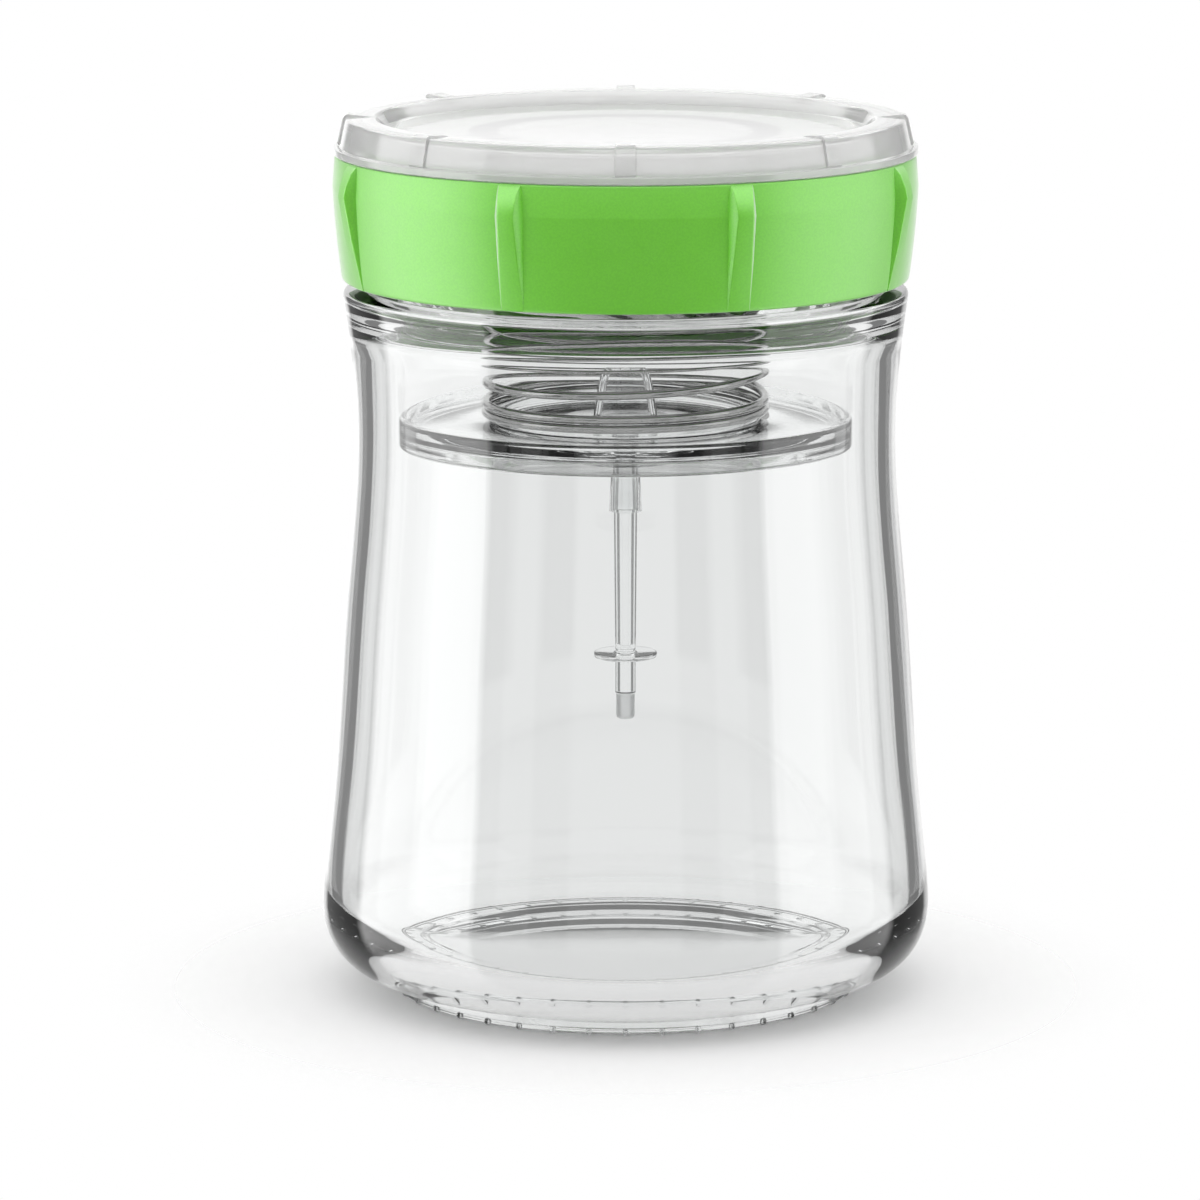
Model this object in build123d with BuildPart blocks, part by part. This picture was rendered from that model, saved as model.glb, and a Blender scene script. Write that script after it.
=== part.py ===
"""Glass fermentation jar with a screw ring, a clear screw cap and a sprung press plate.

Millimetres, +Z up. The origin is the centre of the foot, on the surface the jar stands on.
The jar, its lid and the sprung press are bodies of revolution about Z, apart from the grip
ribs, the grip pads, the square tower and the coil of the spring.
"""

import os

from build123d import *

# Clearances
seat_gap = 0.2        # between flat faces of pieces that turn or slide on each other
side_gap = 0.35       # between round walls that turn inside each other
fit_gap = 0.05        # between a rod and the small piece pushed onto it
plate_gap = 1.9       # press plate to the narrower of the mouth and the waist
ring_gap = 1.9        # top of the shoulder to the bottom edge of the screw ring

# Glass jar: foot and base
jar_wall = 3.3
foot_radius = 42.5
foot_height = 3.0
foot_step = 0.5       # how far the lowest part of the foot is set in
foot_step_height = 1.4
foot_edge_round = 1.2
foot_land = 2.4       # width of the ring that the jar stands on
punt_depth = 1.6
base_thickness = 5.6
base_crown = 0.6      # rise of the inner floor towards its middle
floor_inset = 1.9     # foot radius to the edge of the inner floor

# Glass jar: side, each height from the one below it
heel_radius = 55.0
heel_height = 16.5    # from the surface that the jar stands on
heel_curve = ((0.42, 0.08), (0.76, 0.29), (0.95, 0.61))    # shares of its reach and rise
inner_heel_curve = (0.80, 0.42)
inner_heel_lift = 2.0    # the inside is widest this far above the outside
hip_radius = 53.05
hip_rise = 20.5
belly_radius = 50.65
belly_rise = 33.0
waist_radius = 48.45
waist_rise = 31.0
shoulder_step = 4.4   # how far the shoulder stands out from the neck
shoulder_rise = 24.2
shoulder_round = 2.0
shoulder_curve = ((0.4, 0.7), (1.2, 1.0))    # shares of the round: inwards and upwards
inner_shoulder_drop = 6.6
side_slope_low = 0.06
side_slope_high = 0.14

# Glass jar: neck and mouth
neck_radius = 46.0
neck_height = 18.3
neck_wall = 3.5
throat_length = 14.5  # straight stretch of the mouth under the rim
rim_round = 1.2

# Jar seal, under the deck of the screw ring
jar_seal_thickness = 1.4
jar_seal_width = 3.4

# Screw ring
thread_room = 2.6     # neck to the ring's bore, which the screw threads fill
ring_wall = 2.0
ring_flare = 1.6      # bottom edge to the crease
ring_taper = 0.45     # crease to the top edge
ring_bulge = 0.2
crease_drop = 5.6     # top edge to the crease
round_share = 0.7     # the most of a wall that a rounding may take
ring_edge_round = 1.4
deck_thickness = 2.4
ring_rim_height = 2.1    # above the deck
ring_rim_width = 1.55
collar_width = 1.9
collar_height = 3.3   # above the deck
rib_count = 8
rib_base_width = 4.2
rib_face_width = 2.8
rib_height = 1.5
rib_margin = 0.3      # ring edge to the end of a rib

# Clear screw cap
flange_overhang = 0.35    # past the top edge of the ring
flange_thickness = 1.3
flange_width = 1.2
flange_edge = 0.3
cap_draft = 1.1
cap_height = 6.3      # from the underside of the flange to the top of the rim
cap_rim_round = 0.7
cap_rim_width = 5.3
cap_sheet = 2.0
cap_skirt_width = 1.3
recess_depth = 2.4
recess_draft = 1.3
recess_wall = 2.0
pad_count = 8
pad_width = 3.4
pad_height = 0.45
pad_reach = 2.6       # how far a grip pad runs in over the rim

# Cap seal, on the collar of the screw ring
cap_seal_thickness = 1.2
seal_land_width = 1.2

# Spring and the collar that holds it under the cap
spring_radius = 25.8
spring_length = 48.5
wire_diameter = 1.5
wire_sides = 6        # flats of the wire's section
seat_coils = 2.0      # closed coils at each end
coil_gap = 0.12       # between closed coils
open_pitch = 5.1
spring_slack = 0.35   # between the coils and the walls that guide them
guide_wall = 1.4
spring_lip = 2.4      # collar past the coils
spring_lip_thickness = 1.4
sleeve_depth = 3.8

# Press plate
plate_thickness = 1.8
plate_rim_rise = 1.3  # above the plate
plate_rim_height = 5.5
plate_rim_width = 2.6
plate_rim_round = 1.2
plate_guide_height = 1.5
hub_radius = 8.0
hub_taper = 0.5
hub_drop = 2.4
vent_radius = 1.2

# Tower on the plate
tower_base = 11.8
tower_top = 7.2
tower_height = 13.4
tower_wall = 1.1
tower_corner = 0.8

# Stem under the plate
stem_radius = 2.2
stem_taper = 0.35
stem_length = 46.1    # below the hub
stem_socket = 2.6
disc_radius = 5.7
disc_thickness = 0.9
disc_rise = 6.7       # above the end of the stem
bell_drop = 3.8       # below the hub
bell_length = 8.6
bell_edge = 0.25
bell_flare = 0.75
tip_radius = 1.65
tip_length = 4.6
spigot_radius = 0.8
spigot_length = 2.0

# Heights and radii of the glass that follow from the sizes above
foot_edge = foot_radius - foot_step
foot_contact_radius = foot_edge - foot_edge_round
punt_radius = foot_contact_radius - foot_land
floor_height = punt_depth + base_thickness
floor_radius = foot_radius - floor_inset
hip_height = heel_height + hip_rise
belly_height = hip_height + belly_rise
waist_height = belly_height + waist_rise
shoulder_height = waist_height + shoulder_rise
shoulder_radius = neck_radius + shoulder_step
neck_start = shoulder_height + shoulder_round
rim_height = neck_start + neck_height
mouth_radius = neck_radius - neck_wall

# Ring
bore_radius = neck_radius + thread_room
ring_bottom = neck_start + ring_gap
ring_bottom_radius = bore_radius + ring_wall
ring_crease_radius = ring_bottom_radius + ring_flare
ring_top_radius = ring_crease_radius - ring_taper
deck_underside = rim_height + jar_seal_thickness
deck_top = deck_underside + deck_thickness
deck_bore = mouth_radius + fit_gap
ring_top = deck_top + ring_rim_height
ring_crease_height = ring_top - crease_drop
ring_rim_inner = ring_top_radius - ring_rim_width

# Cap
cap_skirt_outer = ring_rim_inner - side_gap
cap_skirt_inner = cap_skirt_outer - cap_skirt_width
collar_outer = cap_skirt_inner - side_gap
collar_inner = collar_outer - collar_width
collar_top = deck_top + collar_height
flange_radius = ring_top_radius + flange_overhang
cap_wall_radius = flange_radius - flange_width
cap_top_wall_radius = cap_wall_radius - cap_draft
flange_bottom = ring_top + seat_gap
flange_top = flange_bottom + flange_thickness
cap_top = flange_bottom + cap_height
recess_lip_radius = cap_top_wall_radius - cap_rim_width
recess_floor_radius = recess_lip_radius - recess_draft
recess_wall_outer = recess_floor_radius + recess_wall
recess_floor = cap_top - recess_depth
cap_ceiling = recess_floor - cap_sheet
rim_ceiling = cap_top - cap_sheet
cap_seal_bottom = collar_top + seat_gap
cap_seal_top = cap_seal_bottom + cap_seal_thickness

# Spring, plate and stem
coil_radius = spring_radius - wire_diameter / 2
guide_outer = spring_radius - wire_diameter - spring_slack
guide_inner = guide_outer - guide_wall
seat_pitch = wire_diameter + coil_gap
spring_top = cap_ceiling - spring_lip_thickness
plate_top = spring_top - spring_length
plate_radius = min(mouth_radius, waist_radius - jar_wall) - plate_gap
plate_rim_inner = plate_radius - plate_rim_width
plate_rim_crest = plate_radius - plate_rim_round
plate_rim_top = plate_top + plate_rim_rise
plate_rim_bottom = plate_rim_top - plate_rim_height
plate_underside = plate_top - plate_thickness
hub_bottom = plate_underside - hub_drop
stem_top = hub_bottom + stem_socket
stem_end = hub_bottom - stem_length
bell_top = hub_bottom - bell_drop

os.makedirs("parts", exist_ok=True)


# Glass jar: foot, heel, waisted side, shoulder and neck, with one wall thickness inside
with BuildPart() as glass_jar:
    with BuildSketch(Plane.XZ):
        with BuildLine():
            Polyline(
                (0, punt_depth),
                (punt_radius - punt_depth, punt_depth),
                (punt_radius, 0),
                (foot_contact_radius, 0),
            )
            TangentArc((foot_contact_radius, 0), (foot_edge, foot_edge_round), tangent=(1, 0))
            Polyline(
                (foot_edge, foot_edge_round),
                (foot_edge, foot_step_height),
                (foot_radius, foot_step_height),
                (foot_radius, foot_height),
            )
            heel_points = [
                (
                    foot_radius + reach * (heel_radius - foot_radius),
                    foot_height + rise * (heel_height - foot_height),
                )
                for reach, rise in heel_curve
            ]
            Spline(
                (foot_radius, foot_height),
                *heel_points,
                (heel_radius, heel_height),
                tangents=[(1, 0.1), (0, 1)],
            )
            Spline(
                (heel_radius, heel_height),
                (hip_radius, hip_height),
                (belly_radius, belly_height),
                (waist_radius, waist_height),
                (shoulder_radius, shoulder_height),
                tangents=[(-side_slope_low, 1), (side_slope_high, 1)],
            )
            round_points = [
                (
                    shoulder_radius - inwards * shoulder_round,
                    shoulder_height + upwards * shoulder_round,
                )
                for inwards, upwards in shoulder_curve
            ]
            ThreePointArc((shoulder_radius, shoulder_height), *round_points)
            Polyline(
                round_points[-1],
                (neck_radius, neck_start),
                (neck_radius, rim_height - rim_round),
            )
            TangentArc(
                (neck_radius, rim_height - rim_round),
                (neck_radius - rim_round, rim_height),
                tangent=(0, 1),
            )
            Line((neck_radius - rim_round, rim_height), (mouth_radius + rim_round, rim_height))
            TangentArc(
                (mouth_radius + rim_round, rim_height),
                (mouth_radius, rim_height - rim_round),
                tangent=(-1, 0),
            )
            throat_end = (mouth_radius, rim_height - throat_length)
            Line((mouth_radius, rim_height - rim_round), throat_end)
            inner_shoulder = (
                shoulder_radius - side_slope_high * inner_shoulder_drop - jar_wall,
                shoulder_height - inner_shoulder_drop,
            )
            inner_heel = (heel_radius - jar_wall, heel_height + inner_heel_lift)
            Spline(
                throat_end,
                inner_shoulder,
                tangents=[(0, -1), (-side_slope_high, -1)],
            )
            Spline(
                inner_shoulder,
                (waist_radius - jar_wall, waist_height),
                (belly_radius - jar_wall, belly_height),
                (hip_radius - jar_wall, hip_height),
                inner_heel,
                tangents=[(-side_slope_high, -1), (side_slope_low, -1)],
            )
            Spline(
                inner_heel,
                (
                    floor_radius + inner_heel_curve[0] * (inner_heel[0] - floor_radius),
                    floor_height + inner_heel_curve[1] * (inner_heel[1] - floor_height),
                ),
                (floor_radius, floor_height),
                tangents=[(side_slope_low, -1), (-1, -0.1)],
            )
            Polyline(
                (floor_radius, floor_height),
                (0, floor_height + base_crown),
                (0, punt_depth),
            )
        make_face()
    revolve(axis=Axis.Z)
glass_jar.part.label = "glass_jar"
export_step(glass_jar.part, "parts/glass_jar.step")


# Flat seal on the rim of the glass
with BuildPart() as jar_seal:
    with BuildSketch(Plane.XY.offset(rim_height)):
        Circle(mouth_radius + jar_seal_width)
        Circle(mouth_radius, mode=Mode.SUBTRACT)
    extrude(amount=jar_seal_thickness)
jar_seal.part.label = "jar_seal"
export_step(jar_seal.part, "parts/jar_seal.step")


# One grip rib of the screw ring, on +X: a trapezoid in plan, cut to a roof from the side
with BuildPart() as grip_rib:
    rib_root = (ring_rim_inner + ring_bottom_radius) / 2
    rib_face = ring_crease_radius + rib_height
    with BuildSketch(Plane.XY.offset(ring_bottom + rib_margin)):
        with BuildLine():
            Polyline(
                (rib_root, rib_base_width / 2),
                (ring_bottom_radius, rib_base_width / 2),
                (rib_face, rib_face_width / 2),
                (rib_face, -rib_face_width / 2),
                (ring_bottom_radius, -rib_base_width / 2),
                (rib_root, -rib_base_width / 2),
                close=True,
            )
        make_face()
    extrude(amount=ring_top - ring_bottom - 2 * rib_margin)
    with BuildSketch(Plane.XZ):
        with BuildLine():
            Polyline(
                (rib_root, ring_bottom + rib_margin),
                (ring_bottom_radius, ring_bottom + rib_margin),
                (rib_face, ring_crease_height),
                (ring_top_radius, ring_top - rib_margin),
                (rib_root, ring_top - rib_margin),
                close=True,
            )
        make_face()
    extrude(amount=rib_base_width, both=True, mode=Mode.INTERSECT)


# Screw ring: creased outer wall, deck over the jar's rim, and a collar that the cap screws on
with BuildPart() as lid_ring:
    with BuildSketch(Plane.XZ) as ring_section:
        with BuildLine():
            mid_radius = (ring_bottom_radius + ring_crease_radius) / 2 + ring_bulge
            mid_height = (ring_bottom + ring_crease_height) / 2
            Line((bore_radius, ring_bottom), (ring_bottom_radius, ring_bottom))
            ThreePointArc(
                (ring_bottom_radius, ring_bottom),
                (mid_radius, mid_height),
                (ring_crease_radius, ring_crease_height),
            )
            Polyline(
                (ring_crease_radius, ring_crease_height),
                (ring_top_radius, ring_top),
                (ring_rim_inner, ring_top),
                (ring_rim_inner, deck_top),
                (collar_outer, deck_top),
                (collar_outer, collar_top),
                (collar_inner, collar_top),
                (collar_inner, deck_top),
                (deck_bore, deck_top),
                (deck_bore, deck_underside),
                (bore_radius, deck_underside),
                (bore_radius, ring_bottom),
            )
        make_face()
        outer_corner = ring_section.vertices().group_by(Axis.Y)[0].sort_by(Axis.X)[-1]
        fillet(outer_corner, min(ring_edge_round, round_share * ring_wall))
    revolve(axis=Axis.Z)
    with PolarLocations(0, rib_count, start_angle=180 / rib_count):
        add(grip_rib.part)
lid_ring.part.label = "lid_ring"
export_step(lid_ring.part, "parts/lid_ring.step")


# Seal between the collar of the ring and the cap
with BuildPart() as cap_seal:
    with BuildSketch(Plane.XY.offset(cap_seal_bottom)):
        Circle(collar_outer)
        Circle(collar_inner, mode=Mode.SUBTRACT)
    extrude(amount=cap_seal_thickness)
cap_seal.part.label = "cap_seal"
export_step(cap_seal.part, "parts/cap_seal.step")


# One grip pad of the cap, on +X: down the wall, round the edge and a little way in over the rim
with BuildPart() as grip_pad:
    with BuildSketch(Plane.XZ):
        with BuildLine():
            Polyline(
                (cap_top_wall_radius - pad_reach, cap_top - pad_height),
                (cap_top_wall_radius - pad_reach, cap_top),
                (cap_top_wall_radius - cap_rim_round, cap_top + pad_height),
                (cap_top_wall_radius + pad_height, cap_top - cap_rim_round),
                (cap_wall_radius + pad_height, flange_top),
                (cap_wall_radius - pad_height, flange_top),
                (cap_top_wall_radius - cap_rim_round, cap_top - cap_rim_round),
                close=True,
            )
        make_face()
    extrude(amount=pad_width / 2, both=True)


# Clear screw cap: flange, sloped wall, rim round a shallow recess, threaded skirt and seal land
with BuildPart() as clear_cap:
    with BuildSketch(Plane.XZ):
        with BuildLine():
            land_inner = (collar_inner + collar_outer - seal_land_width) / 2
            land_outer = land_inner + seal_land_width
            Polyline(
                (0, recess_floor),
                (recess_floor_radius, recess_floor),
                (recess_lip_radius, cap_top - cap_rim_round),
                (recess_lip_radius + cap_rim_round, cap_top),
                (cap_top_wall_radius - cap_rim_round, cap_top),
                (cap_top_wall_radius, cap_top - cap_rim_round),
                (cap_wall_radius, flange_top + flange_edge),
                (cap_wall_radius + flange_edge, flange_top),
                (flange_radius - flange_edge, flange_top),
                (flange_radius, flange_top - flange_edge),
                (flange_radius, flange_bottom + flange_edge),
                (flange_radius - flange_edge, flange_bottom),
                (cap_skirt_outer, flange_bottom),
                (cap_skirt_outer, deck_top + seat_gap),
                (cap_skirt_inner, deck_top + seat_gap),
                (cap_skirt_inner, rim_ceiling),
                (land_outer, rim_ceiling),
                (land_outer, cap_seal_top),
                (land_inner, cap_seal_top),
                (land_inner, rim_ceiling),
                (recess_wall_outer, rim_ceiling),
                (recess_wall_outer, cap_ceiling),
                (0, cap_ceiling),
                close=True,
            )
        make_face()
    revolve(axis=Axis.Z)
    with PolarLocations(0, pad_count, start_angle=90):
        add(grip_pad.part)
clear_cap.part.label = "clear_cap"
export_step(clear_cap.part, "parts/clear_cap.step")


# Spring collar: a lip against the cap and a sleeve that centres the top coils
with BuildPart() as spring_collar:
    with BuildSketch(Plane.XY.offset(spring_top)):
        Circle(spring_radius + spring_lip)
        Circle(guide_inner, mode=Mode.SUBTRACT)
    extrude(amount=spring_lip_thickness)
    with BuildSketch(Plane.XY.offset(spring_top)):
        Circle(guide_outer)
        Circle(guide_inner, mode=Mode.SUBTRACT)
    extrude(amount=-sleeve_depth)
spring_collar.part.label = "spring_collar"
export_step(spring_collar.part, "parts/spring_collar.step")


# Spring: closed coils at both ends and open coils between them, as one wire
with BuildPart() as press_spring:
    closed_height = seat_coils * seat_pitch
    open_height = spring_length - wire_diameter - 2 * closed_height
    stretches = (
        (seat_pitch, closed_height),
        (open_pitch, open_height),
        (seat_pitch, closed_height),
    )
    coil_edges = []
    start_height = plate_top + wire_diameter / 2
    start_angle = 0.0
    for pitch, height in stretches:
        coil_edges.append(
            Helix(pitch, height, coil_radius)
            .rotate(Axis.Z, start_angle)
            .translate((0, 0, start_height))
        )
        start_height += height
        start_angle += 360 * height / pitch
    coil_wire = Wire(coil_edges)
    with BuildSketch(Plane(coil_wire @ 0, x_dir=(0, 0, 1), z_dir=-(coil_wire % 0))):
        RegularPolygon(wire_diameter / 2, wire_sides, rotation=180 / wire_sides)
    sweep(path=coil_wire, is_frenet=True)
press_spring.part.label = "press_spring"
export_step(press_spring.part, "parts/press_spring.step")


# Press plate: a clear disc with a rounded rim, a low guide inside the spring and a hub below
with BuildPart() as press_plate:
    with BuildSketch(Plane.XZ):
        with BuildLine():
            Polyline(
                (vent_radius, plate_top),
                (guide_inner, plate_top),
                (guide_inner, plate_top + plate_guide_height),
                (guide_outer, plate_top + plate_guide_height),
                (guide_outer, plate_top),
                (plate_rim_inner, plate_top),
                (plate_rim_crest, plate_rim_top),
            )
            TangentArc(
                (plate_rim_crest, plate_rim_top),
                (plate_radius, plate_rim_top - plate_rim_round),
                tangent=(1, 0),
            )
            Line(
                (plate_radius, plate_rim_top - plate_rim_round),
                (plate_radius, plate_rim_bottom + plate_rim_round),
            )
            TangentArc(
                (plate_radius, plate_rim_bottom + plate_rim_round),
                (plate_rim_crest, plate_rim_bottom),
                tangent=(0, -1),
            )
            Polyline(
                (plate_rim_crest, plate_rim_bottom),
                (plate_rim_inner, plate_underside),
                (hub_radius, plate_underside),
                (hub_radius - hub_taper, hub_bottom),
                (stem_radius + fit_gap, hub_bottom),
                (stem_radius + fit_gap, stem_top),
                (vent_radius, stem_top),
                (vent_radius, plate_top),
            )
        make_face()
    revolve(axis=Axis.Z)
press_plate.part.label = "press_plate"
export_step(press_plate.part, "parts/press_plate.step")


# Tower: a tapered square cap over the vent in the plate, open below, with a hole in its top
with BuildPart() as vent_tower:
    with BuildSketch(Plane.XY.offset(plate_top)):
        RectangleRounded(tower_base, tower_base, tower_corner)
    with BuildSketch(Plane.XY.offset(plate_top + tower_height)):
        RectangleRounded(tower_top, tower_top, tower_corner)
    loft()
    fillet(vent_tower.faces().sort_by(Axis.Z)[-1].edges(), tower_corner / 2)
    with BuildSketch(Plane.XY.offset(plate_top)):
        Rectangle(tower_base - 2 * tower_wall, tower_base - 2 * tower_wall)
    with BuildSketch(Plane.XY.offset(plate_top + tower_height - tower_wall)):
        Rectangle(tower_top - 2 * tower_wall, tower_top - 2 * tower_wall)
    loft(mode=Mode.SUBTRACT)
    with Locations((0, 0, plate_top + tower_height)):
        Hole(vent_radius, depth=2 * tower_wall)
vent_tower.part.label = "vent_tower"
export_step(vent_tower.part, "parts/vent_tower.step")


# Stem: a tapered clear rod with one thin disc and a socket for its tip
with BuildPart() as gas_stem:
    with BuildSketch(Plane.XZ):
        with BuildLine():
            socket_radius = spigot_radius + fit_gap
            socket_end = stem_end + spigot_length + fit_gap
            Polyline(
                (0, stem_top),
                (stem_radius, stem_top),
                (stem_radius - stem_taper, stem_end),
                (socket_radius, stem_end),
                (socket_radius, socket_end),
                (0, socket_end),
                close=True,
            )
        make_face()
    revolve(axis=Axis.Z)
    with BuildSketch(Plane.XY.offset(stem_end + disc_rise)):
        Circle(disc_radius)
    extrude(amount=disc_thickness)
gas_stem.part.label = "gas_stem"
export_step(gas_stem.part, "parts/gas_stem.step")


# Bell collar pushed onto the stem
with BuildPart() as stem_bell:
    with BuildSketch(Plane.XZ):
        with BuildLine():
            bell_bore = stem_radius + fit_gap
            Polyline(
                (bell_bore, bell_top),
                (bell_bore + bell_edge, bell_top),
                (stem_radius + bell_flare, bell_top - bell_length),
                (bell_bore, bell_top - bell_length),
                close=True,
            )
        make_face()
    revolve(axis=Axis.Z)
stem_bell.part.label = "stem_bell"
export_step(stem_bell.part, "parts/stem_bell.step")


# Tip plugged into the end of the stem
with BuildPart() as stem_tip:
    with BuildSketch(Plane.XY.offset(stem_end)):
        Circle(tip_radius)
    extrude(amount=-tip_length)
    with BuildSketch(Plane.XY.offset(stem_end)):
        Circle(spigot_radius)
    extrude(amount=spigot_length)
stem_tip.part.label = "stem_tip"
export_step(stem_tip.part, "parts/stem_tip.step")
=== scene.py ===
"""Looks of the glass fermentation jar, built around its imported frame.

Blender works in metres. Sections and sizes here are millimetres, as (radius, height) from the
axis of the jar and the surface that it stands on, and become metres when a mesh is made.
"""

import logging
import math
from dataclasses import dataclass
from enum import Enum
from typing import Any, Callable, Optional, Sequence, Union

import bmesh
import bpy
import numpy as np
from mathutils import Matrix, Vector


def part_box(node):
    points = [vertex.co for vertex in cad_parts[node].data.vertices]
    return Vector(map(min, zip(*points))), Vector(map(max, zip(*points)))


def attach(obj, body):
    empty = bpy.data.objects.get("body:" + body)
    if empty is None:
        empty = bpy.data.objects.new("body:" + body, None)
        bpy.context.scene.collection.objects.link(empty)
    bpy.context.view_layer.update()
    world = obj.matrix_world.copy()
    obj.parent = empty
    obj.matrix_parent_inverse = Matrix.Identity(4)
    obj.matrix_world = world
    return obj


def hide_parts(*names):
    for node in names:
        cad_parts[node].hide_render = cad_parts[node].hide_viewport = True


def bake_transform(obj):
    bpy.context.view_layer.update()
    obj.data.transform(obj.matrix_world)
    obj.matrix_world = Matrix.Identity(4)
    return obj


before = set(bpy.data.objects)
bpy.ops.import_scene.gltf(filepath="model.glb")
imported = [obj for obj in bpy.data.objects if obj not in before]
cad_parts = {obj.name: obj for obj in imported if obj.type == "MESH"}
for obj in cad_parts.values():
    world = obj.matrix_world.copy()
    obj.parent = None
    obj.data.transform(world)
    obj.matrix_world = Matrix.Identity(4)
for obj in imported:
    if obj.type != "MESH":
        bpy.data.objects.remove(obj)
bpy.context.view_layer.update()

log = logging.getLogger("fermentation_jar")

Point = tuple[float, float]      # radius and height
Span = tuple[float, float]       # from and to
Corner = tuple[float, ...]       # radius, height and perhaps a rounding
Place = tuple[float, float, float]
Colour = tuple[float, float, float]
Piece = bpy.types.Object
Socket = bpy.types.NodeSocket
Relief = Callable[[np.ndarray, np.ndarray], np.ndarray]

MM = 0.001
TURN = 2 * math.pi
ROUND_STEPS = 5          # points in each rounded corner
ROUND_REACH = 0.49       # share of a side that a rounded corner may take
SIDE_STEPS = 10          # points between two heights of a long curve
ANGLE_COUNT = 256        # copies of a section about the axis
NEAR = 1e-6              # less than this is no distance
MERGE_DISTANCE = 1e-7
SHARP_ANGLE = math.radians(38)


class Slot(Enum):
    """The record's material slots."""

    GLASS = "clear_glass"
    CLEAR = "clear_plastic"
    FROSTED = "frosted_plastic"
    GREEN = "green_plastic"
    SILICONE = "seal_silicone"
    STEEL = "spring_steel"


class Body(Enum):
    """The frame's bodies that pieces ride on."""

    JAR = "jar"
    LID_CARRIER = "lid_carrier"
    RING_CARRIER = "ring_carrier"
    RING = "ring"
    SPRING_SEAT = "spring_seat"
    CAP = "cap"
    PRESS = "press"


def heights(node: str) -> Span:
    """Returns the lowest and the highest height of a node, in millimetres."""
    low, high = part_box(node)
    return low.z / MM, high.z / MM


def reach(node: str) -> float:
    """Returns how far a node reaches from the axis, in millimetres."""
    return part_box(node)[1].x / MM


def rounded(corners: Sequence[Corner], closed: bool = False) -> list[Point]:
    """Draws straight lines between corners, with an arc at each corner that has a rounding.

    Args:
        corners: radius and height of each corner, and its rounding where it has one.
        closed: whether the last corner joins the first.

    Returns:
        The points of the line.
    """
    places = [np.array(corner[:2], float) for corner in corners]
    points: list[Point] = []
    for i, corner in enumerate(corners):
        ends = not closed and i in (0, len(corners) - 1)
        if len(corner) < 3 or corner[2] <= 0 or ends:
            points.append((corner[0], corner[1]))
            continue
        back = places[i - 1] - places[i]
        ahead = places[(i + 1) % len(corners)] - places[i]
        back_length, ahead_length = np.linalg.norm(back), np.linalg.norm(ahead)
        back, ahead = back / back_length, ahead / ahead_length
        half = math.acos(float(np.clip(back @ ahead, -1, 1))) / 2
        most = ROUND_REACH * min(back_length, ahead_length)
        cut = min(corner[2] / math.tan(half), most)
        for s in np.linspace(0, 1, ROUND_STEPS):
            bend = places[i] + cut * ((1 - s) ** 2 * back + s ** 2 * ahead)
            points.append((float(bend[0]), float(bend[1])))
    return points


def through(points: Sequence[Point], start: Point, end: Point) -> list[Point]:
    """Draws one smooth curve through points.

    Args:
        points: the points that the curve passes.
        start: direction in which it leaves the first point.
        end: direction in which it reaches the last one.

    Returns:
        The points of the curve, with both ends.
    """
    places = np.array(points, float)
    chords = np.linalg.norm(np.diff(places, axis=0), axis=1)
    slopes = np.diff(places, axis=0) / chords[:, None]
    count = len(places)
    matrix, wanted = np.eye(count), np.zeros((count, 2))
    wanted[0] = np.array(start) / np.linalg.norm(start)
    wanted[-1] = np.array(end) / np.linalg.norm(end)
    for i in range(1, count - 1):
        before, after = chords[i - 1], chords[i]
        matrix[i, i - 1:i + 2] = (after, 2 * (before + after), before)
        wanted[i] = 3 * (after * slopes[i - 1] + before * slopes[i])
    tangents = np.linalg.solve(matrix, wanted)
    curve: list[Point] = []
    for i, chord in enumerate(chords):
        for s in np.linspace(0, 1, SIDE_STEPS, endpoint=False):
            place = (2 * s ** 3 - 3 * s ** 2 + 1) * places[i]
            place += (s ** 3 - 2 * s ** 2 + s) * chord * tangents[i]
            place += (3 * s ** 2 - 2 * s ** 3) * places[i + 1]
            place += (s ** 3 - s ** 2) * chord * tangents[i + 1]
            curve.append((float(place[0]), float(place[1])))
    return curve + [(float(places[-1][0]), float(places[-1][1]))]


def climb(low: float, high: float, radius: float, step: float) -> list[Point]:
    """Draws a vertical line as evenly spaced points.

    Args:
        low: height where it starts.
        high: height where it ends, which may be the lower one.
        radius: its distance from the axis.
        step: the most between two points.

    Returns:
        The points of the line.
    """
    count = max(2, int(abs(high - low) / step) + 1)
    return [(radius, float(height)) for height in np.linspace(low, high, count)]


def linked(name: str, source: Union[bmesh.types.BMesh, bpy.types.ID]) -> Piece:
    """Makes an object and links it to the scene.

    Args:
        name: the object's name.
        source: its data, or an edited mesh, which is freed.

    Returns:
        The object.
    """
    data = source
    if isinstance(source, bmesh.types.BMesh):
        data = bpy.data.meshes.new(name)
        source.to_mesh(data)
        source.free()
    made = bpy.data.objects.new(name, data)
    bpy.context.scene.collection.objects.link(made)
    return made


def smooth(name: str, mesh: bmesh.types.BMesh) -> Piece:
    """Turns an edited mesh into a smooth object whose hard corners stay sharp.

    Args:
        name: the object's name.
        mesh: the edited mesh, which is freed.

    Returns:
        The object.
    """
    bmesh.ops.remove_doubles(mesh, verts=mesh.verts, dist=MERGE_DISTANCE)
    bmesh.ops.recalc_face_normals(mesh, faces=mesh.faces)
    made = linked(name, mesh)
    made.data.shade_smooth()
    made.data.set_sharp_from_angle(angle=SHARP_ANGLE)
    return made


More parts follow.
